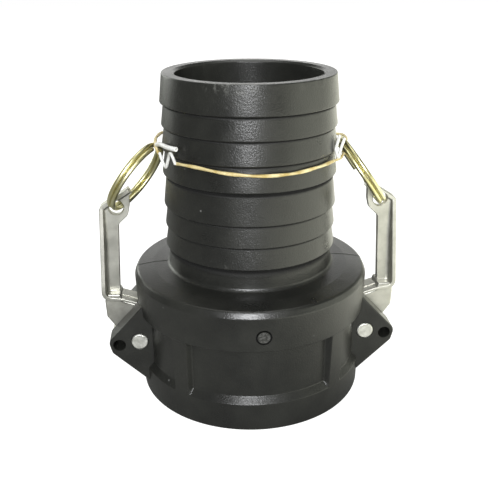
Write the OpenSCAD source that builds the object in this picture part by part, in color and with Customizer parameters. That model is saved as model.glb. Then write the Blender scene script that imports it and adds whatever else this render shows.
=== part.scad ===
// Camlock coupler with hose shank, 3 inch: a female coupler that clamps an adapter with two cam arms.
// Millimetres. Origin at the centre of the mouth plane, +Z towards the hose end, arms along X.

/* [Hose shank] */
// Height from the mouth plane to the end of the shank
shank_top = 151.1; // [120:0.1:200]
// Radius of each barb at its sharp lower edge
barb_r = 40; // [30:0.1:60]
// Radius under each barb's edge
valley_r = 38.4; // [28:0.1:59]
// Radius of the way through the shank
flow_r = 32.9; // [20:0.1:50]

/* [Coupler body] */
// Inner radius of the mouth, for a 91.4 mm adapter
mouth_r = 46.2; // [30:0.1:80]
// Length of the land inside the mouth that guides the adapter
land_h = 13; // [3:0.1:13.5]
// Outer radius of the rim at the mouth
rim_r = 54.3; // [40:0.1:100]
// Outer radius of the shoulder band
band_r = 55.8; // [40:0.1:100]
// Radius of the recess floor between the ribs
recess_r = 51.8; // [38:0.1:95]
// Height of the rim band
rim_h = 13.2; // [5:0.1:30]
// Top of the recess
recess_top = 41; // [20:0.1:60]
// Angle of each rib from the front or the back
rib_angle = 40.5; // [20:0.5:60]
// Width of each rib
rib_w = 8.6; // [3:0.1:20]

/* [Ears] */
// Distance of the pivot pin from the axis
pin_x = 54.5; // [40:0.1:90]
// Height of the pivot pin
pin_z = 28.3; // [15:0.1:50]
// Outer face of an ear, measured from the middle of the pair
ear_y = 18.5; // [10:0.1:30]
// Inner face of an ear, measured from the middle of the pair
ear_in_y = 7; // [4:0.1:15]
// Radius of the pivot pin
pin_r = 4; // [2:0.05:8]
// Radius of the safety clip hole
clip_r = 3; // [1.5:0.1:6]
// Distance of the safety clip hole from the axis
clip_x = 64.2; // [50:0.1:100]
// Height of the safety clip hole
clip_z = 26.7; // [10:0.1:50]

/* [Cam arms] */
// Lean of a closed arm towards the shank
lean = 2.7; // [0:0.1:10]
// Half the width of the cam head
head_y = 6.5; // [3:0.1:12]
// Distance of the arm's outer face from the pin's axis
arm_out = 18.5; // [10:0.1:40]
// Height of the eye's centre above the pin
eye_b = 61.3; // [30:0.1:120]
// Distance of the eye's centre outward of the pin
eye_a = 10.8; // [0:0.1:30]
// Radius of the eye
eye_r = 3.4; // [2:0.1:8]

/* [Pull rings] */
// Radius of the ring to the middle of its wire
ring_r = 17.4; // [8:0.1:30]
// Radius of the wire
wire_r = 1.1; // [0.5:0.05:3]
// Angle of the ring from upright, towards the shank
ring_tilt = 35; // [0:0.5:80]
// Twist of the left ring in its eye
ring_twist = 21; // [0:1:25]

/* [Gasket] */
// Outer radius of the gasket
gasket_r = 47.9; // [30:0.1:80]
// Inner radius of the gasket
gasket_in_r = 38.1; // [20:0.1:70]
// Thickness of the gasket
gasket_t = 6.3; // [3:0.1:10]

/* [Hidden] */
$fn = 96;
land_relief = 1.2;
seat_z = 56.2;
groove_z = 49.5;
groove_r = 48.2;
slot_bottom = 13.8;
slot_top = 42.6;
knuckle_r = 7.6;
flange_t = 1.7;
flange_half = 6;
flange_tip_half = 2.75;
web_half = 1.5;
eye_relief = 0.4;
head_bore_r = pin_r + 0.06;
wire_gap = 2.0;
tie_r = 0.8;
end_r = 0.7;
sleeve_r = 1.0;
// Eye centre in the object's frame, for an arm at rest
eye_x = pin_x + eye_a * cos(lean) - eye_b * sin(lean);
eye_z = pin_z + eye_a * sin(lean) + eye_b * cos(lean);
// Safety clip hole in the arm's own frame
clip_a = (clip_x - pin_x) * cos(lean) + (clip_z - pin_z) * sin(lean);
clip_b = (clip_z - pin_z) * cos(lean) - (clip_x - pin_x) * sin(lean);

// Outline of the barbed shank and the shoulder, then back through the inside
shell_profile = [
  [34.1, shank_top], [38.3, shank_top], [38.8, shank_top - 0.5],
  [barb_r, 138.5], [valley_r, 138.3],
  [barb_r - 0.3, 128.5], [valley_r, 128.3],
  [barb_r, 118.2], [valley_r, 118.0],
  [barb_r, 106.9], [valley_r - 0.1, 106.7],
  [barb_r, 92.3], [valley_r, 92.1],
  [barb_r - 0.2, 82.3], [valley_r, 82.1],
  [barb_r, 72.3], [valley_r, 72.1],
  [39.2, 65.6], [41.2, 63.3],
  [46.5, 62.1], [51.5, 60.6], [54.2, 59.0], [55.5, 57.0],
  [band_r, 54.5], [band_r - 0.4, recess_top + 0.6], [band_r - 1.0, recess_top],
  [recess_r, recess_top], [recess_r, 16.6],
  [rim_r, rim_h + 0.2], [rim_r, 0.7], [rim_r - 0.7, 0],
  [mouth_r, 0], [mouth_r, land_h], [mouth_r + land_relief, land_h], [mouth_r + land_relief, groove_z],
  [groove_r, groove_z], [groove_r, seat_z],
  [37.5, seat_z], [flow_r, 66.0], [flow_r, shank_top - 1.2]
];

// Outline of one ear, seen along Y
ear_profile = [
  [47.5, 4.0], [48.8, 4.0], [52.8, 7.9], [67.3, 22.2], [68.3, 24.2],
  [68.8, 26.6], [68.6, 28.9], [67.6, 31.5], [65.8, 33.8],
  [53.4, 45.6], [50.0, 48.8], [47.5, 48.8]
];

// Outline of the arm's neck from the knuckle up to the elbow, in the arm's own frame
neck_profile = [
  [-1.0, 6.8], [2.0, 11.4], [4.2, 12.7], [8.2, 13.6], [9.0, 15.4], [9.8, 18.5],
  [15.6, 18.5], [17.6, 15.6], [16.1, 13.8], [13.4, 10.4], [12.0, 8.0], [11.2, 5.0],
  [12.6, 0.6], [6.5, -5.0], [0.0, -6.8]
];

// Outline of the flange: down the outside, round the elbow and in to the toe
flange_lower = [
  [arm_out, 22.0], [18.3, 20.0], [17.6, 17.7], [16.2, 15.9], [14.2, 15.1], [11.0, 14.9],
  [8.0, 14.7], [2.1, 13.0], [2.1, 14.4], [7.8, 16.2], [13.0, 16.8], [15.2, 17.9],
  [16.4, 20.0], [arm_out - flange_t, 22.0]
];

// Outline of the web with the eye plate at its top
web_profile = [
  [9.8, 14.9], [9.8, 53.4], [6.1, 57.2], [4.9, 60.2], [4.6, 70.0], [5.2, 70.4],
  [17.6, 61.6], [17.6, 15.9]
];

// Route of the tie once round the shank, from ring to ring, threaded through both
tie_route = [
  [-33.4, -23.8, 116.4], [-25.8, -31.2, 116.8], [-13.7, -38.0, 115.7], [0, -40.4, 114.8],
  [13.7, -38.0, 114.6], [25.8, -31.0, 115.0], [34.3, -21.4, 114.7], [41.0, -10.2, 113.9],
  [43.9, 0, 115.8], [46.7, 9.5, 117.9], [43.0, 18.0, 117.6], [32.6, 26.2, 116.8],
  [20.2, 35.8, 116.8], [0, 41.5, 117.6], [-20.8, 36.6, 118.8], [-32.6, 25.8, 120.2],
  [-39.4, 13.6, 121.3], [-41.8, 5.0, 121.6], [-42.5, -1.5, 121.3], [-42.4, -5.8, 120.0],
  [-41.4, -9.2, 118.2], [-40.6, -11.0, 117.4]
];

// Route of the bent white stretch between the tie's two ends on the left
end_left_route = [
  [-40.5, -11.2, 117.8], [-39.6, -13.8, 115.6], [-38.4, -16.2, 113.4], [-37.6, -17.8, 113.8],
  [-36.2, -20.2, 119.2], [-35.6, -21.4, 120.2], [-34.9, -22.6, 119.4], [-33.7, -24.4, 116.4]
];

// Route of the stiff cut end on the left
sleeve_route = [[-41.9, -7.0, 120.6], [-40.0, -12.0, 121.9], [-36.9, -19.6, 122.5], [-33.1, -25.3, 122.9]];

// Routes of the two loose ends on the right
end_right_route = [
  [38.4, -14.4, 124.2], [36.7, -18.0, 121.4], [35.9, -19.4, 119.6], [36.8, -18.2, 116.8], [37.6, -16.4, 114.2]
];
tail_right_route = [[41.6, -10.4, 121.9], [40.2, -12.6, 119.8], [38.9, -14.6, 117.2], [38.3, -15.4, 114.6]];

function sub(a, b) = [a[0] - b[0], a[1] - b[1], a[2] - b[2]];
function unit(v) = v / norm(v);
// Point on a smooth curve through p1 and p2, with p0 and p3 as their neighbours
function curve(p0, p1, p2, p3, t) =
  0.5 * (2 * p1 + (p2 - p0) * t + (2 * p0 - 5 * p1 + 4 * p2 - p3) * t * t + (3 * p1 - p0 - 3 * p2 + p3) * t * t * t);
function open_path(p, k) = concat([
  for (i = [0 : len(p) - 2])
    for (j = [0 : k - 1])
      curve(p[max(i - 1, 0)], p[i], p[i + 1], p[min(i + 2, len(p) - 1)], j / k)
], [p[len(p) - 1]]);
// One ring of n points round the path at c, square to direction d and lined up with the shank's radius
function hoop(c, d, r, n) =
  let (u = unit(cross(d, [c[0], c[1], 0])), v = cross(d, u))
  [for (i = [0 : n - 1]) c + r * cos(360 * i / n) * u + r * sin(360 * i / n) * v];
function flat(l) = [for (a = l) for (b = a) b];

module open_tube(p, r, n) {
  m = len(p);
  rings = [for (i = [0 : m - 1]) hoop(p[i], unit(sub(p[min(i + 1, m - 1)], p[max(i - 1, 0)])), r, n)];
  sides = [
    for (i = [0 : m - 2])
      for (j = [0 : n - 1])
        [i * n + j, i * n + (j + 1) % n, (i + 1) * n + (j + 1) % n, (i + 1) * n + j]
  ];
  caps = [[for (j = [0 : n - 1]) n - 1 - j], [for (j = [0 : n - 1]) (m - 1) * n + j]];
  polyhedron(points = flat(rings), faces = concat(sides, caps));
}

// A cylinder along Y, from y0 to y1
module y_rod(r, y0, y1) {
  translate([0, y1, 0]) rotate([90, 0, 0]) cylinder(r = r, h = y1 - y0);
}

// A plate in the X-Z plane, h wide along Y and centred
module plate(points, half) {
  rotate([90, 0, 0]) translate([0, 0, -half]) linear_extrude(height = 2 * half) polygon(points);
}

module ear_pair() {
  difference() {
    plate(ear_profile, ear_y);
    translate([40, -ear_in_y, -5]) cube([40, 2 * ear_in_y, 60]);
    translate([clip_x, 0, clip_z]) y_rod(clip_r, -ear_y - 1, ear_y + 1);
    translate([pin_x, 0, pin_z]) y_rod(pin_r - 0.03, -ear_y - 1, ear_y + 1);
  }
}

// A rib stands on the recess floor, flush with the rim band below and the shoulder band above
module rib() {
  intersection() {
    translate([-rib_w / 2, -60, rim_h - 1]) cube([rib_w, 12, recess_top + 2.5 - rim_h]);
    difference() {
      translate([0, 0, rim_h - 1]) cylinder(r1 = rim_r - 0.15, r2 = band_r - 0.6, h = recess_top + 3 - rim_h);
      cylinder(r = 49.5, h = 62);
    }
  }
}

// One moulded piece: shank, shoulder, rim, ribs and ears
module body() color([0.11, 0.11, 0.105]) {
  difference() {
    union() {
      rotate_extrude() polygon(shell_profile);
      for (side = [0, 180]) {
        rotate([0, 0, side + rib_angle]) rib();
        rotate([0, 0, side - rib_angle]) rib();
      }
    }
    for (m = [0, 1]) mirror([m, 0, 0]) {
      translate([40, -ear_in_y, slot_bottom]) cube([25, 2 * ear_in_y, slot_top - slot_bottom]);
      translate([pin_x, 0, pin_z]) y_rod(pin_r - 0.03, -ear_y - 1, ear_y + 1);
    }
  }
  ear_pair();
  mirror([1, 0, 0]) ear_pair();
}

// A flat rubber ring in its groove against the seat
module gasket() color([0.08, 0.08, 0.08]) {
  rotate_extrude() polygon([
    [gasket_in_r, seat_z - gasket_t], [gasket_r, seat_z - gasket_t], [gasket_r, seat_z], [gasket_in_r, seat_z]
  ]);
}

// A round pin through both ears, chamfered at its ends
module pin(side) color([0.83, 0.83, 0.8]) {
  translate([side * pin_x, 19, pin_z]) rotate([90, 0, 0]) rotate_extrude()
    polygon([[0, 0], [pin_r - 0.4, 0], [pin_r, 0.4], [pin_r, 37.6], [pin_r - 0.4, 38], [0, 38]]);
}
module pivot_pin_left() { pin(-1); }
module pivot_pin_right() { pin(1); }

// The outer strip of the arm above its elbow, narrowing to the top
module flange_upper() {
  translate([arm_out - flange_t, 0, 0]) rotate([90, 0, 90]) linear_extrude(height = flange_t) polygon([
    [-flange_half, 21.5], [flange_half, 21.5], [flange_tip_half, 61.6], [-flange_tip_half, 61.6]
  ]);
}

// The strip over the top of the eye plate
flange_top = [[arm_out, 61.0], [arm_out, 61.6], [5.6, 70.6], [4.7, 69.4], [16.6, 61.0]];

// A cast arm: round knuckle with the cam's lobe, neck, T-shaped handle and eye plate
module arm() {
  difference() {
    union() {
      y_rod(knuckle_r, -head_y, head_y);
      translate([-3.4, 0, 0.8]) y_rod(8.8, -head_y, head_y);
      plate(neck_profile, head_y);
      translate([clip_a, 0, clip_b]) y_rod(4.1, -head_y, head_y);
      plate(flange_lower, flange_half);
      plate(web_profile, web_half);
      flange_upper();
      plate(flange_top, flange_tip_half);
    }
    y_rod(head_bore_r, -head_y - 1, head_y + 1);
    translate([clip_a, 0, clip_b]) y_rod(clip_r + 0.3, -head_y - 1, head_y + 1);
    translate([eye_a, 0, eye_b]) {
      y_rod(eye_r, -web_half - 1, web_half + 1);
      y_rod(eye_r + eye_relief, web_half, flange_half);
      y_rod(eye_r + eye_relief, -flange_half, -web_half);
    }
  }
}
module cam_arm_right() color([0.66, 0.67, 0.62]) {
  translate([pin_x, 0, pin_z]) rotate([0, -lean, 0]) arm();
}
module cam_arm_left() color([0.66, 0.67, 0.62]) {
  mirror([1, 0, 0]) translate([pin_x, 0, pin_z]) rotate([0, -lean, 0]) arm();
}

// Two turns of wire side by side, standing in the X-Z plane's normal with the eye at the origin
module ring_pair(twist) {
  rotate([0, 0, twist]) translate([0, 0, ring_r]) rotate([0, 90, 0]) {
    translate([0, 0, -wire_gap / 2]) rotate_extrude() translate([ring_r, 0]) circle(r = wire_r);
    translate([0, 0, wire_gap / 2]) rotate_extrude() translate([ring_r, 0]) circle(r = wire_r);
  }
}
module pull_ring_right() color([0.80, 0.72, 0.42]) {
  translate([eye_x, 0, eye_z]) rotate([0, -ring_tilt, 0]) ring_pair(0);
}
module pull_ring_left() color([0.80, 0.72, 0.42]) {
  translate([-eye_x, 0, eye_z]) rotate([0, ring_tilt, 0]) ring_pair(-ring_twist);
}

// The tie's ochre stretch round the shank
module tie_loop() color([0.78, 0.66, 0.40]) open_tube(open_path(tie_route, 3), tie_r, 8);
// The tie's white ends at the two rings
module tie_end_left() color([0.86, 0.86, 0.83]) open_tube(open_path(end_left_route, 4), end_r, 8);
module tie_sleeve() color([0.88, 0.88, 0.86]) open_tube(open_path(sleeve_route, 4), sleeve_r, 8);
module tie_end_right() color([0.86, 0.86, 0.83]) open_tube(open_path(end_right_route, 5), end_r, 8);
module tie_tail_right() color([0.86, 0.86, 0.83]) open_tube(open_path(tail_right_route, 5), end_r, 8);

body();
gasket();
pivot_pin_left();
pivot_pin_right();
cam_arm_left();
cam_arm_right();
pull_ring_left();
pull_ring_right();
tie_loop();
tie_end_left();
tie_sleeve();
tie_end_right();
tie_tail_right();
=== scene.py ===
# A three-inch camlock coupler with a hose shank, standing on its mouth with both cam arms closed.
# Every piece is made where the frame has it, in metres, and rides on the frame's own bodies.
import math

import bpy
import numpy as np
from mathutils import Matrix


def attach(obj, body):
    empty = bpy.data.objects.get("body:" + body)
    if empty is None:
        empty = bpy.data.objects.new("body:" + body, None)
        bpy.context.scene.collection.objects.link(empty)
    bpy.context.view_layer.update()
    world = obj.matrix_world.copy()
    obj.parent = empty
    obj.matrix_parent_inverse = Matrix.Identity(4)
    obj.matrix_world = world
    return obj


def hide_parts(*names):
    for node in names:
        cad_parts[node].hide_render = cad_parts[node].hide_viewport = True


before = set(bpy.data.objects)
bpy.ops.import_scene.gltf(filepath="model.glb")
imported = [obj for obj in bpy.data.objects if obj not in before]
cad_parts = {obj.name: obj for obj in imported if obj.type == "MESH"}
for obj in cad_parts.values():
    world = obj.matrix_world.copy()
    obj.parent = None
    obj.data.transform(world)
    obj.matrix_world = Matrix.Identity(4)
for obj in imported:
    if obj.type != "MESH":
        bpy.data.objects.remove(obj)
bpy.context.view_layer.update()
MM = 0.001

# --- Camera -------------------------------------------------------------------------------------
# A product camera at table height, a little to the left of the front and looking down on the shank.
camera_back = 311.4 * MM
camera_up = 196.3 * MM
camera_turn = math.radians(5.2)
camera_pitch = math.radians(22.79)
camera_roll = math.radians(-0.25)

camera_data = bpy.data.cameras.new("camera")
camera_data.sensor_width = 36.0
camera_data.lens = 50.0
camera_data.clip_start = 0.02
camera = bpy.data.objects.new("camera", camera_data)
bpy.context.scene.collection.objects.link(camera)
camera_place = (-camera_back * math.sin(camera_turn), -camera_back * math.cos(camera_turn), camera_up)
camera.matrix_world = (
    Matrix.Translation(camera_place)
    @ Matrix.Rotation(-camera_turn, 4, "Z")
    @ Matrix.Rotation(math.pi / 2 - camera_pitch, 4, "X")
    @ Matrix.Rotation(camera_roll, 4, "Z")
)
bpy.context.scene.camera = camera


# --- Tie ----------------------------------------------------------------------------------------
# A thin covered wire that the packer passes once round the shank and through both pull rings, so
# that the arms stay closed in the box. Its covering is ochre round the shank and white at the two
# rings, where the wire is bent up and down.
tie_wide = 1.6 * MM
tie_flat = 1.25 * MM
tie_turns = 9
tie_route = MM * np.array([
    [-33.4, -23.8, 116.4], [-25.8, -31.2, 116.8], [-13.7, -38.0, 115.7], [0, -40.4, 114.8],
    [13.7, -38.0, 114.6], [25.8, -31.0, 115.0], [34.3, -21.4, 114.7], [41.0, -10.2, 113.9],
    [43.9, 0, 115.8], [46.7, 9.5, 117.9], [43.0, 18.0, 117.6], [32.6, 26.2, 116.8],
    [20.2, 35.8, 116.8], [0, 41.5, 117.6], [-20.8, 36.6, 118.8], [-32.6, 25.8, 120.2],
    [-39.4, 13.6, 121.3], [-41.8, 5.0, 121.6], [-42.5, -1.5, 121.3], [-42.4, -5.8, 120.0],
    [-41.4, -9.2, 118.2], [-40.6, -11.0, 117.4],
])
end_left_route = MM * np.array([
    [-40.5, -11.2, 117.8], [-39.6, -13.8, 115.6], [-38.4, -16.2, 113.4], [-37.6, -17.8, 113.8],
    [-36.2, -20.2, 119.2], [-35.6, -21.4, 120.2], [-34.9, -22.6, 119.4], [-33.7, -24.4, 116.4],
])
sleeve_route = MM * np.array([
    [-41.9, -7.0, 120.6], [-40.0, -12.0, 121.9], [-36.9, -19.6, 122.5], [-33.1, -25.3, 122.9],
])
end_right_route = MM * np.array([
    [38.4, -14.4, 124.2], [36.7, -18.0, 121.4], [35.9, -19.4, 119.6], [36.8, -18.2, 116.8],
    [37.6, -16.4, 114.2],
])
tail_right_route = MM * np.array([
    [41.6, -10.4, 121.9], [40.2, -12.6, 119.8], [38.9, -14.6, 117.2], [38.3, -15.4, 114.6],
])
end_r = 0.68 * MM
sleeve_r = 1.0 * MM
sleeve_bore = 0.45 * MM


def smooth_route(points, steps):
    """A smooth curve through the points: between two of them it is the cubic whose slope at each is
    half the way from the point before to the point after."""
    p = np.concatenate([points[:1], points, points[-1:]])
    a, b, c, d = p[:-3, None], p[1:-2, None], p[2:-1, None], p[3:, None]
    t = np.arange(steps)[None, :, None] / steps
    line = b + 0.5 * ((c - a) * t + (2 * a - 5 * b + 4 * c - d) * t**2 + (3 * b - a - 3 * c + d) * t**3)
    return np.concatenate([line.reshape(-1, 3), points[-1:]])


def unit(v):
    """Each vector divided by its length."""
    return v / np.maximum(np.linalg.norm(v, axis=-1, keepdims=True), 1e-12)


def carried(path, section, side, along=None):
    """A section carried along a path: point (i, j) is path i, plus u of the section along the path's
    direction crossed with side i, plus v along the path's direction crossed with that."""
    if along is None:
        along = unit(np.append(path[1:], path[-1:], 0) - np.append(path[:1], path[:-1], 0))
    across = unit(np.cross(along, side))
    away = np.cross(along, across)
    return path[:, None] + section[..., :1] * across[:, None] + section[..., 1:] * away[:, None]


def hoops(count):
    """Angles of the points round one hoop."""
    return np.linspace(0, 2 * np.pi, count, endpoint=False)


def skin(name, rings, round_again=False):
    """A closed mesh through rings of points, an array of rings by points by three: four-sided faces
    join each ring to the next, and the first and last are joined, or closed by one flat face each."""
    count, per = rings.shape[:2]
    i, j = np.meshgrid(np.arange(count if round_again else count - 1), np.arange(per), indexing="ij")
    i2, j2 = (i + 1) % count, (j + 1) % per
    faces = np.stack([i * per + j, i * per + j2, i2 * per + j2, i2 * per + j], -1).reshape(-1, 4).tolist()
    if not round_again:
        faces += [list(range(per))[::-1], list(range((count - 1) * per, count * per))]
    mesh = bpy.data.meshes.new(name)
    mesh.from_pydata(rings.reshape(-1, 3), [], faces)
    mesh.calc_loop_triangles()
    corners = np.zeros(len(mesh.loop_triangles) * 3, np.int32)
    mesh.loop_triangles.foreach_get("vertices", corners)
    p, q, r = np.moveaxis(rings.reshape(-1, 3)[corners.reshape(-1, 3)], 1, 0)
    # The volume that the triangles close is negative when they face inwards.
    if (p * np.cross(q, r)).sum() < 0:
        mesh.flip_normals()
    mesh.validate()
    piece = bpy.data.objects.new(name, mesh)
    bpy.context.scene.collection.objects.link(piece)
    return piece


def soften(piece, angle=34):
    """Smooth shading everywhere but across edges sharper than angle."""
    piece.data.shade_smooth()
    piece.data.set_sharp_from_angle(angle=math.radians(angle))
    return piece


def dress(piece, material, body, slot, *nodes):
    """Gives a finished piece its material and its body, and hides the frame's nodes that it stands for;
    slot is not used.
    """
    piece.data.materials.clear()
    piece.data.materials.append(material)
    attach(piece, body)
    if nodes:
        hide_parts(*nodes)
    return piece


def add(tree, kind, values=None, **settings):
    """Adds a shader node with its settings; its inputs are plain values or another node's output."""
    n = tree.nodes.new(kind)
    for k, v in settings.items():
        setattr(n, k, v)
    for k, v in (values or {}).items():
        if isinstance(v, bpy.types.NodeSocket):
            tree.links.new(v, n.inputs[k])
        else:
            n.inputs[k].default_value = v
    return n


def new_material(name):
    """A material with only its Principled BSDF and output, as (material, tree, shader)."""
    material = bpy.data.materials.new(name)
    material.use_nodes = True
    tree = material.node_tree
    return material, tree, tree.nodes["Principled BSDF"]


def effect(name, inputs, outputs):
    """A shader node group with these float inputs and outputs, as (group, input node, output node)."""
    group = bpy.data.node_groups.new(name, "ShaderNodeTree")
    for n in inputs:
        group.interface.new_socket(n, in_out="INPUT", socket_type="NodeSocketFloat")
    for n in outputs:
        group.interface.new_socket(n, in_out="OUTPUT", socket_type="NodeSocketFloat")
    return group, group.nodes.new("NodeGroupInput"), group.nodes.new("NodeGroupOutput")


# Grain and smudges: Grain is a fine even texture, and Smudge broad soft patches, both from 0 to 1.
surface_grain, grain_in, grain_out = effect(
    "surface_grain", ["Grain Scale", "Smudge Scale"], ["Grain", "Smudge"])
grain_place = add(surface_grain, "ShaderNodeTexCoord").outputs["Object"]
fine = add(surface_grain, "ShaderNodeTexNoise", {
    "Vector": grain_place, "Scale": grain_in.outputs[0], "Detail": 3.0, "Roughness": 0.6})
broad = add(surface_grain, "ShaderNodeTexNoise", {
    "Vector": grain_place, "Scale": grain_in.outputs[1], "Detail": 4.0, "Roughness": 0.62})
surface_grain.links.new(fine.outputs["Fac"], grain_out.inputs["Grain"])
surface_grain.links.new(broad.outputs["Fac"], grain_out.inputs["Smudge"])


def grain(tree, grain_scale, smudge_scale):
    """The surface_grain group in a material, with its own scales per metre."""
    n = add(tree, "ShaderNodeGroup", node_tree=surface_grain)
    n.inputs["Grain Scale"].default_value = grain_scale
    n.inputs["Smudge Scale"].default_value = smudge_scale
    return n.outputs["Grain"], n.outputs["Smudge"]


def blend_colours(tree, factor, first, second):
    """A colour that goes from first to second as factor goes from 0 to 1."""
    n = add(tree, "ShaderNodeMix", data_type="RGBA")
    tree.links.new(factor, n.inputs["Factor"])
    for socket, colour in ((n.inputs[6], first), (n.inputs[7], second)):
        if isinstance(colour, bpy.types.NodeSocket):
            tree.links.new(colour, socket)
        else:
            socket.default_value = (*colour, 1.0)
    return n.outputs[2]


def ramp(tree, value, low, high, to_low=0.0, to_high=1.0):
    """The value carried from low..high to to_low..to_high, and held there beyond them."""
    n = add(tree, "ShaderNodeMapRange", {"Value": value, "From Min": low, "From Max": high,
                                         "To Min": to_low, "To Max": to_high})
    return n.outputs["Result"]


def relief(tree, height, depth):
    """A bump of this depth in metres, as a normal."""
    n = add(tree, "ShaderNodeBump", {"Height": height, "Strength": 1.0, "Distance": depth})
    return n.outputs["Normal"]


def mottle(tree, shader, smudge, low, high, dark, light):
    """Gives a shader a base colour that goes from dark to light as the smudge goes from low to high."""
    colour = blend_colours(tree, ramp(tree, smudge, low, high), dark, light)
    tree.links.new(colour, shader.inputs["Base Color"])


ochre_cover, tree, shader = new_material("ochre_cover")
tie_grain, tie_smudge = grain(tree, 1500.0, 160.0)
mottle(tree, shader, tie_smudge, 0.38, 0.62, (0.50, 0.38, 0.14), (0.74, 0.64, 0.36))
tree.links.new(ramp(tree, tie_grain, 0.3, 0.7, 0.30, 0.46), shader.inputs["Roughness"])
tree.links.new(relief(tree, tie_grain, 0.05 * MM), shader.inputs["Normal"])

white_cover, tree, shader = new_material("white_cover")
cover_grain, cover_smudge = grain(tree, 1800.0, 220.0)
mottle(tree, shader, cover_smudge, 0.35, 0.6, (0.62, 0.62, 0.58), (0.86, 0.86, 0.84))
tree.links.new(ramp(tree, cover_grain, 0.3, 0.7, 0.38, 0.55), shader.inputs["Roughness"])
tree.links.new(relief(tree, cover_grain, 0.04 * MM), shader.inputs["Normal"])


def outward(path):
    """The direction from the shank's axis to each point of a path."""
    return unit(path * [1, 1, 0])


# The covering is a little flat, and the wire twists as it goes round.
tie_line = smooth_route(tie_route, 10)
tie_angle = hoops(14)[None, :]
tie_twist = np.linspace(0, tie_turns * 2 * np.pi, len(tie_line))[:, None]
oval = np.stack([tie_wide / 2 * np.cos(tie_angle), tie_flat / 2 * np.sin(tie_angle)], -1)
tie_section = np.stack([
    oval[..., 0] * np.cos(tie_twist) - oval[..., 1] * np.sin(tie_twist),
    oval[..., 0] * np.sin(tie_twist) + oval[..., 1] * np.cos(tie_twist),
], -1)
tie = skin("tie_wire", carried(tie_line, tie_section, outward(tie_line)))
dress(soften(tie, 60), ochre_cover, "coupler", "tie_ochre", "tie_loop")


def bent_end(name, route, radius, steps=10, sides=16):
    """A round tube along a route, domed at both ends: the last rings shrink as a quarter circle does."""
    line = smooth_route(route, steps)
    dome = np.linspace(0, np.pi / 2, 6)[:-1]
    first, last = unit(line[1] - line[0]), unit(line[-1] - line[-2])
    line = np.concatenate([
        line[0] - radius * 0.6 * np.sin(dome[::-1, None]) * first, line[1:-1],
        line[-1] + radius * 0.6 * np.sin(dome[:, None]) * last,
    ])
    size = np.ones(len(line))
    size[:5], size[-5:] = np.cos(dome[::-1]), np.cos(dome)
    angle = hoops(sides)
    section = radius * size[:, None, None] * np.stack([np.cos(angle), np.sin(angle)], -1)[None]
    return soften(skin(name, carried(line, section, outward(line))), 60)


def sleeve_end(name, route, radius, bore, steps=10, sides=20):
    """A tube whose far end shows its bore: circles run out along the outside, turn over the lip, and go
    back in with the bore's radius."""
    line = smooth_route(route, steps)
    last = unit(line[-1] - line[-2])
    along = np.concatenate([unit(np.gradient(line, axis=0)), np.repeat(last[None], 3, 0)])
    lip, inside = line[-1] + last * 0.1 * MM, line[-1] - last * 1.5 * MM
    line = np.concatenate([line, [lip, lip, inside]])
    size = np.full(len(line), radius)
    size[0] = radius * 0.5
    size[-3:] = radius - 0.12 * MM, bore, bore * 0.9
    angle = hoops(sides)
    section = size[:, None, None] * np.stack([np.cos(angle), np.sin(angle)], -1)[None]
    return soften(skin(name, carried(line, section, outward(line), along)), 40)


tie_ends = [
    dress(bent_end("tie_end_left_bent", end_left_route, end_r), white_cover, "coupler", "tie_white",
          "tie_end_left"),
    dress(sleeve_end("tie_sleeve_left", sleeve_route, sleeve_r, sleeve_bore), white_cover, "coupler",
          "tie_white", "tie_sleeve"),
    dress(bent_end("tie_end_right_bent", end_right_route, end_r), white_cover, "coupler", "tie_white",
          "tie_end_right"),
    dress(bent_end("tie_tail_right_bent", tail_right_route, end_r), white_cover, "coupler", "tie_white",
          "tie_tail_right"),
]

# --- Body ---------------------------------------------------------------------------------------
# One injection moulding in black glass-filled nylon: hose shank with seven barbs, round shoulder, a
# mouth for the adapter, four stiffening ribs and two pairs of ears for the arms. The wall has a slot
# on each side for the cam, and a gate mark is left on the shoulder's front.
shank_top = 151.1
flow_r = 32.9
mouth_r = 46.2
rim_r = 54.3
band_r = 55.8
recess_r = 51.8
rim_h = 13.2
recess_top = 41.0
rib_angle = 40.5
rib_w = 8.6
rib_middle_r = 53.0
seam_height, seam_deg = 0.16, 0.28
shoulder_low, shoulder_top, shoulder_in_r = 57.5, 63.0, 39.6
pin_x, pin_z, pin_r = 54.5, 28.3, 4.0
clip_x, clip_z, clip_r = 64.2, 26.7, 3.0
ear_y, ear_in_y, ear_edge = 18.5, 7.0, 0.75
slot_bottom, slot_top = 13.8, 42.6

# Each barb, from the top down, as its edge's radius and height and the radius of its root.
barbs = [
    (39.98, 138.5, 38.4), (39.7, 128.5, 38.4), (39.98, 118.2, 38.4), (39.98, 106.9, 38.3),
    (39.98, 92.3, 38.4), (39.8, 82.3, 38.4), (39.98, 72.3, 38.4),
]
barb_step = 0.2
# Corners of the wall's outline as radius, height and rounding, down the outside and up the inside.
wall_corners = [(34.1, shank_top, 0.4), (38.6, shank_top, 0.5)]
for edge_r, edge_z, root_r in barbs:
    wall_corners += [(edge_r, edge_z, 0.45), (root_r, edge_z - barb_step, 0.1)]
wall_corners += [
    (38.9, 61.9, 1.9), (46.5, 61.4, 5.0), (54.5, 60.1, 1.8), (55.85, 57.2, 1.8),
    (55.4, 41.0, 0.7), (recess_r, 40.6, 1.1), (recess_r, 16.6, 0.9), (rim_r, 13.6, 0.7),
    (rim_r, 0.0, 0.8), (mouth_r, 0.0, 0.5), (mouth_r, 13.0, 0.3), (47.4, 13.0, 0.2),
    (47.4, 49.5, 0.2), (48.2, 49.5, 0.2), (48.2, 56.2, 0.2), (37.5, 56.2, 0.4), (flow_r, 66.0, 3.0),
    (flow_r, 150.2, 0.5),
]


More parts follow.
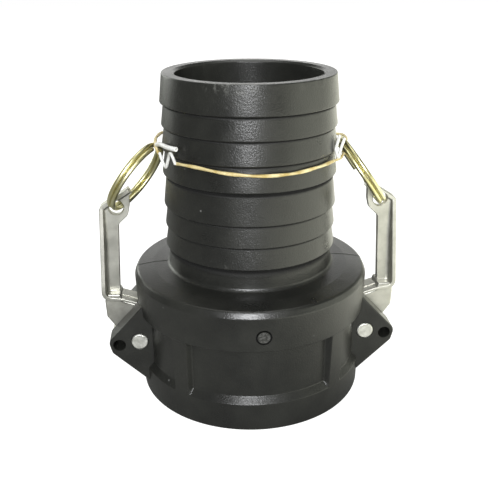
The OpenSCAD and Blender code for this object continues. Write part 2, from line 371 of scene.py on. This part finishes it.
def rounded(corners, steps=4, closed=True):
    """An outline with its corners rounded: each becomes an arc, tangent to both its sides, with the
    corner's third number as its radius, or less where a side is too short for it."""
    c = np.array(corners, float)
    p, r = c[:, :2], c[:, 2]
    to_last, to_next = np.roll(p, 1, 0) - p, np.roll(p, -1, 0) - p
    back, on = unit(to_last), unit(to_next)
    half = 0.5 * np.arccos(np.clip((back * on).sum(1), -1, 1))
    room = 0.49 * np.minimum(np.linalg.norm(to_last, axis=1), np.linalg.norm(to_next, axis=1))
    cut = np.minimum(r / np.tan(half), room)
    r = cut * np.tan(half)
    centre = p + unit(back + on) * (r / np.sin(half))[:, None]
    a, b = p + back * cut[:, None] - centre, p + on * cut[:, None] - centre
    sweep = np.pi - 2 * half
    t = np.linspace(0, 1, steps + 1)[None, :, None]
    full = np.maximum(np.sin(sweep), 1e-9)[:, None, None]
    s = sweep[:, None, None]
    arc = (np.sin((1 - t) * s) * a[:, None] + np.sin(t * s) * b[:, None]) / full
    line = centre[:, None] + arc
    if not closed:
        line[0], line[-1] = p[0], p[-1]
    return line.reshape(-1, 2)


def spaced(line, longest):
    """The same closed line with points added evenly, so that no stretch is longer than longest."""
    ahead = np.roll(line, -1, 0)
    counts = np.maximum(1, np.ceil(np.linalg.norm(ahead - line, axis=1) / longest)).astype(int)
    return np.concatenate([a + (b - a) * np.arange(n)[:, None] / n for a, b, n in zip(line, ahead, counts)])


# The height of a rib's flank across its edge, from the recess floor at 0 to the rib's top at 1.
flank_corners = [(-3.0, 0.0, 0.0), (-0.5, 0.0, 0.9), (0.5, 1.0, 0.55), (3.0, 1.0, 0.0)]
flank = rounded(flank_corners, steps=5, closed=False)[6:-6]
flank_deg = np.degrees(flank[:, 0] / rib_middle_r)
edge_deg = math.degrees(math.asin(rib_w / 2 / rib_middle_r))
ribs = [side + turn for side in (90, 270) for turn in (-rib_angle, rib_angle)]
ridge_deg = np.array([-0.5, -0.25, -0.1, 0.1, 0.25, 0.5])
columns = [np.arange(0, 360, 2.0)]
for rib in ribs:
    columns += [rib - edge_deg + flank_deg, rib + edge_deg - flank_deg]
columns += [ridge_deg % 360, 180 + ridge_deg]
theta = np.unique(np.round(np.concatenate(columns), 3))
theta = theta[np.append(True, np.diff(theta) > 0.02)]


def on_rib(angle):
    """How far each angle has come up a rib: 0 on the recess floor and 1 on a rib's top."""
    off = np.abs((angle[:, None] - np.array(ribs)[None] + 180) % 360 - 180).min(1)
    return np.interp(edge_deg - off, flank_deg, flank[:, 1], left=0.0, right=1.0)


wall = spaced(rounded(wall_corners), 2.4)
outside = (wall[:, 0] > mouth_r + 3) & (wall[:, 1] < recess_top + 1) & (wall[:, 1] > rim_h - 1)
rib_r = np.interp(wall[:, 1], [rim_h, recess_top + 1.6], [rim_r - 0.05, band_r - 0.55])
lift = np.where(outside, np.maximum(rib_r - wall[:, 0], 0), 0)
radius = wall[:, :1] + lift[:, None] * on_rib(theta)[None]
# The mould's halves meet along X, and leave a fine ridge over the shoulder.
seam = np.clip(1 - np.abs((theta + 90) % 180 - 90) / seam_deg, 0, 1)
on_shoulder = np.clip(wall[:, 1] - shoulder_low, 0, 1) * np.clip((shoulder_top - wall[:, 1]) / 0.5, 0, 1)
on_shoulder = on_shoulder * (wall[:, 0] > shoulder_in_r)
height = wall[:, 1:] + seam_height * on_shoulder[:, None] * seam[None]
turn = np.radians(theta)[None]
body_rings = MM * np.stack([radius * np.cos(turn), radius * np.sin(turn), height + 0 * turn], -1)
body = skin("coupler_body", body_rings, round_again=True)


def plate(name, outline, low, high, edge, steps=4):
    """A flat plate standing in the X-Z plane with rounded edges: as q goes over a quarter turn, the
    outline is drawn in by edge times one minus its sine, edge times one minus its cosine from the side."""
    after = np.roll(outline, -1, 0)
    ahead, behind = unit(after - outline), unit(outline - np.roll(outline, 1, 0))
    tangent = unit(ahead + behind)
    # Left of the way round is inside when the outline's area comes out positive.
    way = 1 if (outline[:, 0] * after[:, 1] - after[:, 0] * outline[:, 1]).sum() > 0 else -1
    inside = way * np.stack([-tangent[:, 1], tangent[:, 0]], -1)
    square_to_side = way * np.stack([-ahead[:, 1], ahead[:, 0]], -1)
    inside = inside / np.maximum((inside * square_to_side).sum(1), 0.5)[:, None]
    q = np.linspace(0, np.pi / 2, steps + 1)
    drawn = edge * (1 - np.sin(q))
    level = np.concatenate([low + edge * (1 - np.cos(q)), (high - edge * (1 - np.cos(q)))[::-1]])
    drawn = np.concatenate([drawn, drawn[::-1]])
    layer = outline[None] + drawn[:, None, None] * inside[None]
    points = np.stack([layer[..., 0], np.broadcast_to(level[:, None], layer.shape[:2]), layer[..., 1]], -1)
    return skin(name, MM * points)


def lathe(name, outline, centre, count=64):
    """An outline of radius and place along Y, turned about the Y axis through centre."""
    angle = hoops(count)
    line = np.array(outline, float)
    ring = np.stack([np.cos(angle), 0 * angle, np.sin(angle)], -1)
    points = line[:, None, :1] * ring[None] + line[:, None, 1:] * np.array([0, 1, 0])
    return skin(name, MM * (points + np.array(centre)))


def shape_with(piece, tool, operation):
    """Adds the tool to the piece, or cuts it out of it, and removes the tool."""
    change = piece.modifiers.new("shape", "BOOLEAN")
    change.object, change.operation, change.solver = tool, operation, "MANIFOLD"
    evaluated = piece.evaluated_get(bpy.context.evaluated_depsgraph_get())
    mesh = bpy.data.meshes.new_from_object(evaluated)
    piece.modifiers.clear()
    old, old_tool = piece.data, tool.data
    piece.data = mesh
    bpy.data.objects.remove(tool)
    bpy.data.meshes.remove(old)
    bpy.data.meshes.remove(old_tool)
    return piece


def hold_flats(piece):
    """Turns the normals at a flat side's border to that side, so that it shades evenly up to its edge:
    each normal is the mean of its faces' normals, weighted by their areas."""
    change = piece.modifiers.new("flats", "WEIGHTED_NORMAL")
    change.keep_sharp, change.weight = True, 90
    graph = bpy.context.evaluated_depsgraph_get()
    mesh = bpy.data.meshes.new_from_object(
        piece.evaluated_get(graph), preserve_all_data_layers=True, depsgraph=graph)
    piece.modifiers.clear()
    old, piece.data = piece.data, mesh
    bpy.data.meshes.remove(old)
    return piece


def flared_hole(inner_r, outer_r, narrow):
    """The outline of a hole through both ears: inner_r to narrow on each side of the middle, and wider
    from there to the ear's face and beyond."""
    end = [(inner_r, narrow), (outer_r, ear_y), (outer_r, ear_y + 1.5)]
    return [(r, -y) for r, y in end[::-1]] + end


ear_corners = [
    (47.5, 4.0, 0.2), (48.8, 4.0, 0.5), (67.8, 22.4, 3.4), (69.3, 28.4, 4.0), (53.0, 46.0, 2.5),
    (50.4, 48.8, 1.0), (47.5, 48.8, 0.2),
]
ear_outline = spaced(rounded(ear_corners, steps=8), 3.0)
slot_corners = [(-ear_in_y, slot_bottom, 0.8), (ear_in_y, slot_bottom, 0.8), (ear_in_y, slot_top, 0.8),
                (-ear_in_y, slot_top, 0.8)]
for side in (-1, 1):
    for low, high in ((ear_in_y, ear_y), (-ear_y, -ear_in_y)):
        shape_with(body, plate("ear", ear_outline * [side, 1], low, high, ear_edge), "UNION")
    slot_line = rounded(slot_corners)
    slot_box = np.stack([np.zeros(len(slot_line)), slot_line[:, 0], slot_line[:, 1]], -1)
    reach = np.array([40.0, 60.0])[:, None, None] * side * np.array([1, 0, 0])
    shape_with(body, skin("slot", MM * (slot_box[None] + reach)), "DIFFERENCE")
    clip_hole = flared_hole(clip_r - 0.4, clip_r, 17.6)
    shape_with(body, lathe("hole", clip_hole, (side * clip_x, 0, clip_z)), "DIFFERENCE")
    pin_hole = flared_hole(pin_r + 0.06, pin_r + 0.35, 18.2)
    shape_with(body, lathe("hole", pin_hole, (side * pin_x, 0, pin_z)), "DIFFERENCE")

gate_z = 48.3
gate_x = 0.8
gate_r = 2.85
gate_out, gate_floor = -57.0, -53.6
gate_ring = [
    (gate_r - 0.12, gate_out), (gate_r + 0.75, gate_out), (gate_r + 0.6, gate_floor), (gate_r, gate_floor),
]


def ring_tool(name, outline, centre, count=48):
    """An outline of radius and place along Y, turned about the Y axis through centre into a closed ring."""
    angle = hoops(count)
    line = np.array(outline, float)
    radial = np.stack([np.cos(angle), 0 * angle, np.sin(angle)], -1)
    points = line[None, :, :1] * radial[:, None] + line[None, :, 1:] * np.array([0, 1, 0])
    return skin(name, MM * (points + np.array(centre)), round_again=True)


shape_with(body, ring_tool("gate", gate_ring, (gate_x, 0, gate_z)), "DIFFERENCE")

black_nylon, tree, shader = new_material("black_nylon")
place = add(tree, "ShaderNodeTexCoord").outputs["Object"]
nylon_grain, nylon_smudge = grain(tree, 1400.0, 38.0)
right_x, back_y, up_z = add(tree, "ShaderNodeSeparateXYZ", {"Vector": place}).outputs


def times(tree, vector, by):
    """A vector with each of its parts multiplied by its own number."""
    return add(tree, "ShaderNodeVectorMath", {0: vector, 1: by}, operation="MULTIPLY").outputs[0]


def length(tree, vector):
    """How long a vector is."""
    return add(tree, "ShaderNodeVectorMath", {0: vector}, operation="LENGTH").outputs["Value"]


def both(tree, first, second):
    """Two masks multiplied."""
    n = add(tree, "ShaderNodeMath", operation="MULTIPLY")
    for socket, v in zip(n.inputs, (first, second)):
        if isinstance(v, bpy.types.NodeSocket):
            tree.links.new(v, socket)
        else:
            socket.default_value = v
    return n.outputs[0]


from_axis = length(tree, times(tree, place, (1.0, 1.0, 0.0)))
# Rubbed spots where a barb's edge or the end of the shank stands proud.
scuff_noise = add(tree, "ShaderNodeTexNoise", {
    "Vector": place, "Scale": 260.0, "Detail": 5.0, "Roughness": 0.7}).outputs["Fac"]
proud = both(tree, ramp(tree, from_axis, 39.1 * MM, 39.9 * MM), ramp(tree, up_z, 66 * MM, 70 * MM))
scuffs = both(tree, proud, ramp(tree, scuff_noise, 0.60, 0.72))
top_edge = both(tree, ramp(tree, up_z, 146.2 * MM, 150.8 * MM), ramp(tree, from_axis, 37.4 * MM, 38.6 * MM))
top_scuffs = both(tree, top_edge, ramp(tree, scuff_noise, 0.52, 0.64))
rubbed_side = both(tree, ramp(tree, right_x, -22 * MM, -16 * MM), ramp(tree, right_x, 2 * MM, -6 * MM))
top_scuffs = both(tree, top_scuffs, ramp(tree, rubbed_side, 0.0, 1.0, 0.12, 1.0))
# Small pale specks of dust in the moulding's surface.
speck = add(tree, "ShaderNodeTexVoronoi", {"Vector": place, "Scale": 170.0, "Randomness": 1.0})
rare = add(tree, "ShaderNodeSeparateColor", {"Color": speck.outputs["Color"]}).outputs[0]
specks = both(tree, ramp(tree, speck.outputs["Distance"], 0.10, 0.05), ramp(tree, rare, 0.90, 0.96))
# The gate's stub is broken off rough, inside the ring that the nozzle leaves.
gate_middle = (gate_x * MM, 0.0, gate_z * MM)
from_gate = add(tree, "ShaderNodeVectorMath", {0: place, 1: gate_middle}, operation="SUBTRACT").outputs[0]
gate_off = length(tree, times(tree, from_gate, (1.0, 0.0, 1.0)))
on_front = ramp(tree, back_y, -50 * MM, -52 * MM)
on_gate = both(tree, ramp(tree, gate_off, (gate_r - 0.05) * MM, (gate_r - 0.3) * MM), on_front)
torn = add(tree, "ShaderNodeTexNoise", {
    "Vector": place, "Scale": 900.0, "Detail": 4.0, "Roughness": 0.7}).outputs["Fac"]
# Under each barb and in the ring round the gate the moulding is given more roughness, and its colour is
# painted near black there as painted shade for the undercut and the groove.
barb_root_shade = both(tree, ramp(tree, from_axis, 38.62 * MM, 38.46 * MM),
                 ramp(tree, from_axis, 38.0 * MM, 38.2 * MM))
barb_root_shade = both(tree, barb_root_shade, ramp(tree, up_z, 66 * MM, 68 * MM))
barb_root_shade = both(tree, barb_root_shade, ramp(tree, up_z, 139.0 * MM, 138.4 * MM))
gate_groove_shade = both(tree, ramp(tree, gate_off, (gate_r - 0.10) * MM, (gate_r + 0.02) * MM),
                   ramp(tree, gate_off, (gate_r + 0.78) * MM, (gate_r + 0.60) * MM))
gate_groove_shade = both(tree, gate_groove_shade, on_front)
shade_and_dull = add(tree, "ShaderNodeMath", {0: barb_root_shade, 1: gate_groove_shade}, operation="MAXIMUM").outputs[0]
tone = blend_colours(tree, ramp(tree, nylon_smudge, 0.35, 0.68),
                     (0.0112, 0.0115, 0.0103), (0.0212, 0.0217, 0.0187))
for mask, colour in (
    (both(tree, on_gate, ramp(tree, torn, 0.40, 0.66)), (0.11, 0.11, 0.105)),
    (both(tree, scuffs, 0.30), (0.13, 0.13, 0.12)),
    (both(tree, top_scuffs, 0.5), (0.25, 0.25, 0.23)),
    (both(tree, specks, 0.35), (0.35, 0.35, 0.34)),
    # painted shade: near black under each barb and in the gate's groove
    (shade_and_dull, (0.0015, 0.0015, 0.0014)),
):
    tone = blend_colours(tree, mask, tone, colour)
tree.links.new(tone, shader.inputs["Base Color"])
nylon_rough = ramp(tree, nylon_smudge, 0.3, 0.7, 0.26, 0.36)
nylon_rough = add(tree, "ShaderNodeMath", {0: nylon_rough, 1: shade_and_dull}, operation="MAXIMUM").outputs[0]
tree.links.new(nylon_rough, shader.inputs["Roughness"])
shader.inputs["IOR"].default_value = 1.52
tree.links.new(relief(tree, nylon_grain, 0.10 * MM), shader.inputs["Normal"])
dress(hold_flats(soften(body, 30)), black_nylon, "coupler", "body_plastic", "body")

# --- Gasket -------------------------------------------------------------------------------------
# A flat nitrile ring pushed into the groove at the bottom of the mouth, where the adapter's face
# presses on it.
seat_z = 56.2
gasket_t = 6.3
gasket_in, gasket_out = 38.1, 47.9
gasket_corners = [
    (gasket_in, seat_z - gasket_t, 0.6), (gasket_out, seat_z - gasket_t, 0.6), (gasket_out, seat_z, 0.3),
    (gasket_in, seat_z, 0.3),
]


def turned(name, outline, count=180):
    """An outline of radius and height turned about the Z axis."""
    angle = hoops(count)[:, None]
    r, z = outline[None, :, 0], outline[None, :, 1]
    points = np.stack([r * np.cos(angle), r * np.sin(angle), z + 0 * angle], -1)
    return skin(name, MM * points, round_again=True)


nitrile, tree, shader = new_material("nitrile")
rubber_grain, rubber_smudge = grain(tree, 900.0, 60.0)
mottle(tree, shader, rubber_smudge, 0.35, 0.65, (0.006, 0.006, 0.006), (0.016, 0.016, 0.016))
tree.links.new(ramp(tree, rubber_grain, 0.3, 0.7, 0.55, 0.75), shader.inputs["Roughness"])
tree.links.new(relief(tree, rubber_grain, 0.06 * MM), shader.inputs["Normal"])
gasket = turned("gasket_ring", spaced(rounded(gasket_corners), 3.0))
dress(soften(gasket, 40), nitrile, "coupler", "gasket_rubber", "gasket")

# --- Pivot pins ---------------------------------------------------------------------------------
# Drawn steel pins pressed through both ears of a pair. Each end has a short knurl that bites into
# the nylon, and the ends are sawn flat.
pin_half = 19.0
knurl_teeth = 30
knurl_long = 5.6
knurl_deep = 0.24

drawn_steel, tree, shader = new_material("drawn_steel")
shader.inputs["Metallic"].default_value = 1.0
pin_grain, pin_smudge = grain(tree, 700.0, 260.0)
mottle(tree, shader, pin_smudge, 0.38, 0.62, (0.72, 0.72, 0.67), (0.93, 0.93, 0.88))
tree.links.new(ramp(tree, pin_grain, 0.3, 0.7, 0.38, 0.56), shader.inputs["Roughness"])
tree.links.new(relief(tree, pin_grain, 0.05 * MM), shader.inputs["Normal"])


def pivot_pin(name, side):
    """A round pin along Y: near both ends its radius is cut by the knurl's teeth, which go up and down
    evenly round it, and over the chamfer it falls away to the sawn face."""
    from_end = np.array([0.0, 0.1, 0.4, knurl_long, knurl_long + 0.6])
    y = np.concatenate([from_end - pin_half, (pin_half - from_end)[::-1]])
    fall = np.interp(np.abs(y), pin_half - from_end[2::-1], [0.0, 0.24, 0.42])
    knurled = np.interp(np.abs(y), pin_half - from_end[:2:-1], [0.0, 1.0])
    angle = hoops(knurl_teeth * 4)[None]
    tooth = np.abs((angle * knurl_teeth / (2 * np.pi) + 0.125) % 1 - 0.5) * 2
    r = pin_r - fall[:, None] - knurl_deep * knurled[:, None] * tooth
    points = [side * pin_x + r * np.cos(angle), y[:, None] + 0 * angle, pin_z + r * np.sin(angle)]
    return soften(skin(name, MM * np.stack(points, -1)), 25)


for side, word in ((-1, "left"), (1, "right")):
    dress(pivot_pin(f"pin_{word}", side), drawn_steel, "coupler", "pin_steel", f"pivot_pin_{word}")

# --- Cam arms -----------------------------------------------------------------------------------
# Investment-cast stainless arms with a satin finish. The knuckle turns on the pin and carries the
# cam's lobe, a crowned neck leads out to the elbow, and the handle above it is T-shaped: an outer
# flange with a web behind it, which widens into the plate for the ring's eye.
lean = math.radians(2.7)
head_y = 6.5
knuckle_r, lobe_r, lug_r = 7.6, 8.8, 4.1
lobe_at = (-3.4, 0.8)
arm_out = 18.5
eye_a, eye_b, eye_r = 10.8, 61.3, 3.4
flange_t = 2.0
neck_half = 5.85
web_half = 1.5
hole_y = 8.0


def swung(a, b, angle):
    """A point's two coordinates after it has turned by angle about their origin."""
    return a * math.cos(angle) - b * math.sin(angle), a * math.sin(angle) + b * math.cos(angle)


clip_a, clip_b = swung(clip_x - pin_x, clip_z - pin_z, -lean)
neck_corners = [
    (-1.0, 6.8, 1.0), (1.2, 11.6, 1.0), (2.6, 13.5, 0.6), (8.6, 15.2, 1.5), (9.8, 18.5, 0.5),
    (15.6, 18.5, 0.5), (17.0, 15.0, 1.2), (16.3, 6.6, 2.0), (12.4, 1.4, 1.5),
    (6.5, -5.0, 2.0), (0.0, -6.8, 1.0),
]
web_corners = [
    (10.0, 15.6, 0.4), (9.8, 53.0, 2.6), (5.4, 57.6, 3.2), (4.6, 62.0, 3.0), (4.7, 70.2, 0.4),
    (5.6, 70.3, 0.4), (17.6, 61.6, 0.5), (17.6, 16.2, 1.5),
]
# The flange's outer face from the toe round the elbow and up to the tip, with the flange's half width.
flange_corners = [
    (2.1, 13.1, 0.0), (8.6, 14.8, 3.0), (arm_out, 15.0, 4.6), (arm_out, 61.5, 3.3), (5.4, 70.7, 0.0),
]


def arm_flange(name):
    """A T-shaped section carried along the flange's outer face: a strip, then an arc on each side down
    to the web. Its half width falls from the elbow to the tip, and the arcs shrink away at the toe."""
    bend = rounded(flange_corners, steps=9, closed=False)
    counts = np.maximum(1, np.ceil(np.linalg.norm(np.diff(bend, axis=0), axis=1) / 1.6)).astype(int)
    stretches = [a + (b - a) * np.arange(n)[:, None] / n for a, b, n in zip(bend, bend[1:], counts)]
    line = np.concatenate(stretches + [bend[-1:]])
    line = line[np.append(True, np.linalg.norm(np.diff(line, axis=0), axis=1) > 0.02)]
    along = unit(np.gradient(line, axis=0))
    inward = np.stack([-along[:, 1], along[:, 0]], -1)
    half = np.interp(line[:, 1], [13.0, 22.0, 61.5], [6.0, 6.0, 2.75])
    edge = 0.35
    past_toe = line[:, 0] + (line[:, 1] - 15) * 3
    arc_r = np.minimum(np.interp(past_toe, [9.2, 12.5], [0.05, 2.2]), half - web_half - edge)
    deep = np.interp(line[:, 0], [2.1, 8.0, 14.0], [1.3, 1.5, flange_t])
    deep = np.where(line[:, 1] > 20, flange_t, deep)
    q = np.linspace(0, np.pi / 2, 7)[None]
    e = np.linspace(0, np.pi / 2, 4)[None]
    h, d, c = half[:, None], deep[:, None], arc_r[:, None]
    one = np.ones_like(h)
    y = np.concatenate([
        h - edge + edge * np.sin(e), h - edge + edge * np.cos(e), web_half + c - c * np.sin(q),
        web_half * one,
    ], 1)
    v = np.concatenate([
        (edge - edge * np.cos(e)) * one, d - edge + edge * np.sin(e), d + c - c * np.cos(q),
        d + c + 0.25,
    ], 1)
    y = np.concatenate([y, -y[:, ::-1]], 1)
    v = np.concatenate([v, v[:, ::-1]], 1)
    a = line[:, :1] + inward[:, :1] * v
    b = line[:, 1:] + inward[:, 1:] * v
    return skin(name, MM * np.stack([a, y, b], -1))


def round_bar(name, at, r, half, edge):
    """A short round bar along Y with rounded rims."""
    q = np.linspace(0, np.pi / 2, 5)
    rim = [(r - edge + edge * math.sin(t), -half + edge - edge * math.cos(t)) for t in q]
    return lathe(name, rim + [(a, -b) for a, b in rim[::-1]], (at[0], 0, at[1]), count=72)


def cam_arm(name, side):
    """One arm in its own frame, outward and up from the pin, then leant over and set on its pin."""
    arm = round_bar(name, (0, 0), knuckle_r, head_y, 0.5)
    neck_line = spaced(rounded(neck_corners, steps=6), 2.0)
    web_line = spaced(rounded(web_corners, steps=6), 2.5)
    shape_with(arm, round_bar("lobe", lobe_at, lobe_r, head_y - 0.05, 0.7), "UNION")
    shape_with(arm, plate("neck", neck_line, -neck_half, neck_half, 0.8, steps=5), "UNION")
    shape_with(arm, round_bar("lug", (clip_a, clip_b), lug_r, head_y - 0.02, 0.5), "UNION")
    shape_with(arm, arm_flange("flange"), "UNION")
    shape_with(arm, plate("web", web_line, -web_half, web_half, 0.3, steps=3), "UNION")
    eye_half = [(eye_r, 1.15), (eye_r + 0.4, web_half), (eye_r + 0.4, hole_y)]
    eye = [(r, -y) for r, y in eye_half[::-1]] + eye_half
    bore = [(pin_r + 0.06, -hole_y), (pin_r + 0.06, hole_y)]
    clip = [(clip_r + 0.3, -hole_y), (clip_r + 0.3, hole_y)]
    shape_with(arm, lathe("eye", eye, (eye_a, 0, eye_b), count=48), "DIFFERENCE")
    shape_with(arm, lathe("bore", bore, (0, 0, 0)), "DIFFERENCE")
    shape_with(arm, lathe("clip", clip, (clip_a, 0, clip_b), count=48), "DIFFERENCE")
    own = np.zeros(len(arm.data.vertices) * 3)
    arm.data.vertices.foreach_get("co", own)
    a, y, b = own.reshape(-1, 3).T
    x, z = swung(a, b, lean)
    set_on_pin = np.stack([side * (pin_x * MM + x), y, pin_z * MM + z], -1)
    arm.data.vertices.foreach_set("co", set_on_pin.ravel())
    if side < 0:
        arm.data.flip_normals()
    arm.data.update()
    return hold_flats(soften(arm, 32))


satin_steel, tree, shader = new_material("satin_steel")
shader.inputs["Metallic"].default_value = 1.0
steel_grain, steel_smudge = grain(tree, 2200.0, 90.0)
mottle(tree, shader, steel_smudge, 0.34, 0.66, (0.45, 0.447, 0.405), (0.62, 0.615, 0.56))
tree.links.new(ramp(tree, steel_smudge, 0.3, 0.7, 0.40, 0.52), shader.inputs["Roughness"])
tree.links.new(relief(tree, steel_grain, 0.03 * MM), shader.inputs["Normal"])
for side, word in ((-1, "left"), (1, "right")):
    dress(cam_arm(f"arm_{word}", side), satin_steel, f"arm_{word}", "arm_steel", f"cam_arm_{word}")

# --- Pull rings ---------------------------------------------------------------------------------
# Split rings of two turns of spring wire, plated yellow, hooked through the arm's eye. The wire
# lies flat for each turn and steps across between them, and its two ends are cut square.
ring_r = 17.4
wire_r = 1.05
wire_chamfer = 0.15
ring_tilt = math.radians(35)
ring_twist = math.radians(21)
step_turn = math.radians(46)
eye_x, eye_z = np.array([pin_x, pin_z]) + swung(eye_a, eye_b, lean)


def split_ring(name, side, twist, begin):
    """Two turns of wire: the angle runs on for nearly two rounds, and the place across goes from one
    side to the other as a smooth step at the end of the first. The ring then leans over in its eye."""
    angle = np.linspace(0, 4 * np.pi - step_turn, 300)
    t = np.clip((angle - (2 * np.pi - step_turn)) / step_turn, 0, 1)
    across = (2 * (t * t * (3 - 2 * t)) - 1) * (wire_r + 0.02)
    spot = angle + begin
    line = np.stack([across, ring_r * np.sin(spot), ring_r - ring_r * np.cos(spot)], -1)
    ends = np.concatenate([[line[0]], line, [line[-1]]])
    size = np.full(len(ends), wire_r)
    size[0] = size[-1] = wire_r - wire_chamfer
    first, last = unit(line[1] - line[0]), unit(line[-1] - line[-2])
    ends[0] -= first * wire_chamfer
    ends[-1] += last * wire_chamfer
    wire = hoops(18)
    section = size[:, None, None] * np.stack([np.cos(wire), np.sin(wire)], -1)[None]
    points = carried(ends, section, np.broadcast_to([1.0, 0.0, 0.0], ends.shape))
    x, y, z = np.moveaxis(points, -1, 0)
    x, y = swung(x, y, twist)
    x, z = swung(x, z, ring_tilt)
    return soften(skin(name, MM * np.stack([side * (x + eye_x), y, z + eye_z], -1)), 50)


yellow_plate, tree, shader = new_material("yellow_plate")
shader.inputs["Metallic"].default_value = 1.0
plate_grain, plate_smudge = grain(tree, 1600.0, 130.0)
mottle(tree, shader, plate_smudge, 0.36, 0.64, (0.66, 0.61, 0.30), (0.80, 0.77, 0.50))
tree.links.new(ramp(tree, plate_grain, 0.3, 0.7, 0.32, 0.40), shader.inputs["Roughness"])
tree.links.new(relief(tree, plate_grain, 0.004 * MM), shader.inputs["Normal"])
ring_left = split_ring("split_ring_left", -1, ring_twist, math.radians(200))
ring_right = split_ring("split_ring_right", 1, 0.0, math.radians(75))
dress(ring_left, yellow_plate, "ring_left", "ring_plate", "pull_ring_left")
dress(ring_right, yellow_plate, "ring_right", "ring_plate", "pull_ring_right")

# --- Studio -------------------------------------------------------------------------------------
# A white sweep with a narrow softbox high in front, weak ones all round, and a painted glow on the right of
# the floor.
# The sweep shows white to the camera and stays dimmer in the coupler's own reflections.
floor_half, floor_t = 3.0, 0.01
floor_square = floor_half * np.array([[-1, -1, 0], [1, -1, 0], [1, 1, 0], [-1, 1, 0]])
floor = skin("floor", np.stack([floor_square, floor_square - [0, 0, floor_t]]))
sweep, tree, shader = new_material("white_sweep")
shader.inputs["Base Color"].default_value = (0.28, 0.28, 0.268, 1.0)
shader.inputs["Roughness"].default_value = 0.9
seen = add(tree, "ShaderNodeLightPath").outputs["Is Camera Ray"]
# In reflections the right part of the sweep glows with painted light, as one lit by a lamp on that side
# would.
floor_place = add(tree, "ShaderNodeTexCoord").outputs["Object"]
floor_x = add(tree, "ShaderNodeSeparateXYZ", {"Vector": floor_place}).outputs["X"]
glow = ramp(tree, floor_x, 0.05, 0.19, 0.0, 1.8)
strength = add(tree, "ShaderNodeMix", {"Factor": seen, "A": glow, "B": 1.0}, data_type="FLOAT")
tree.links.new(strength.outputs["Result"], shader.inputs["Emission Strength"])
shine = blend_colours(tree, seen, (1.0, 1.0, 0.84), (1.0, 1.0, 1.0))
tree.links.new(shine, shader.inputs["Emission Color"])
floor.data.materials.append(sweep)

world = bpy.data.worlds.new("studio")
bpy.context.scene.world = world
world.use_nodes = True
tree = world.node_tree
backdrop = tree.nodes["Background"]
seen = add(tree, "ShaderNodeLightPath").outputs["Is Camera Ray"]
tree.links.new(blend_colours(tree, seen, (0.14, 0.142, 0.134), (1.0, 1.0, 1.0)), backdrop.inputs["Color"])
backdrop.inputs["Strength"].default_value = 1.0
bpy.context.scene.view_settings.view_transform = "Standard"


def softbox(name, place, aim, wide, tall, power, colour):
    """A rectangular light that faces the point aim."""
    data = bpy.data.lights.new(name, "AREA")
    data.shape, data.size, data.size_y = "RECTANGLE", wide, tall
    data.energy, data.color = power, colour
    box = bpy.data.objects.new(name, data)
    bpy.context.scene.collection.objects.link(box)
    toward = unit(np.array(aim, float) - np.array(place, float))
    across = unit(np.cross(toward, [0, 0, 1]))
    up = np.cross(across, toward)
    box.matrix_world = Matrix([
        [across[k], up[k], -toward[k], place[k]] for k in range(3)
    ] + [[0, 0, 0, 1]])


softbox("front_box", (-0.13, -1.10, 0.51), (0, 0, 0.10), 0.11, 0.36, 13.5, (0.97, 0.98, 1.0))
softbox("high_box", (-0.06, -0.80, 1.00), (0, 0, 0.08), 0.22, 0.22, 3.5, (0.98, 0.99, 1.0))
softbox("side_box", (0.95, -0.35, 0.24), (0, 0, 0.08), 0.9, 0.44, 1.7, (0.97, 1.0, 0.84))
softbox("right_box", (0.80, 0.60, 0.26), (0, 0, 0.08), 1.1, 0.46, 0.9, (0.97, 1.0, 0.84))
softbox("left_box", (-0.75, 0.75, 0.32), (0, 0, 0.08), 0.6, 0.5, 3.2, (0.97, 1.0, 0.92))
softbox("back_box", (0.0, 1.20, 0.42), (0, 0, 0.10), 1.4, 0.35, 2.6, (1.0, 1.0, 0.98))
softbox("top_box", (0.0, 0.10, 1.10), (0, 0, 0.08), 0.6, 0.6, 3.0, (1.0, 1.0, 0.97))
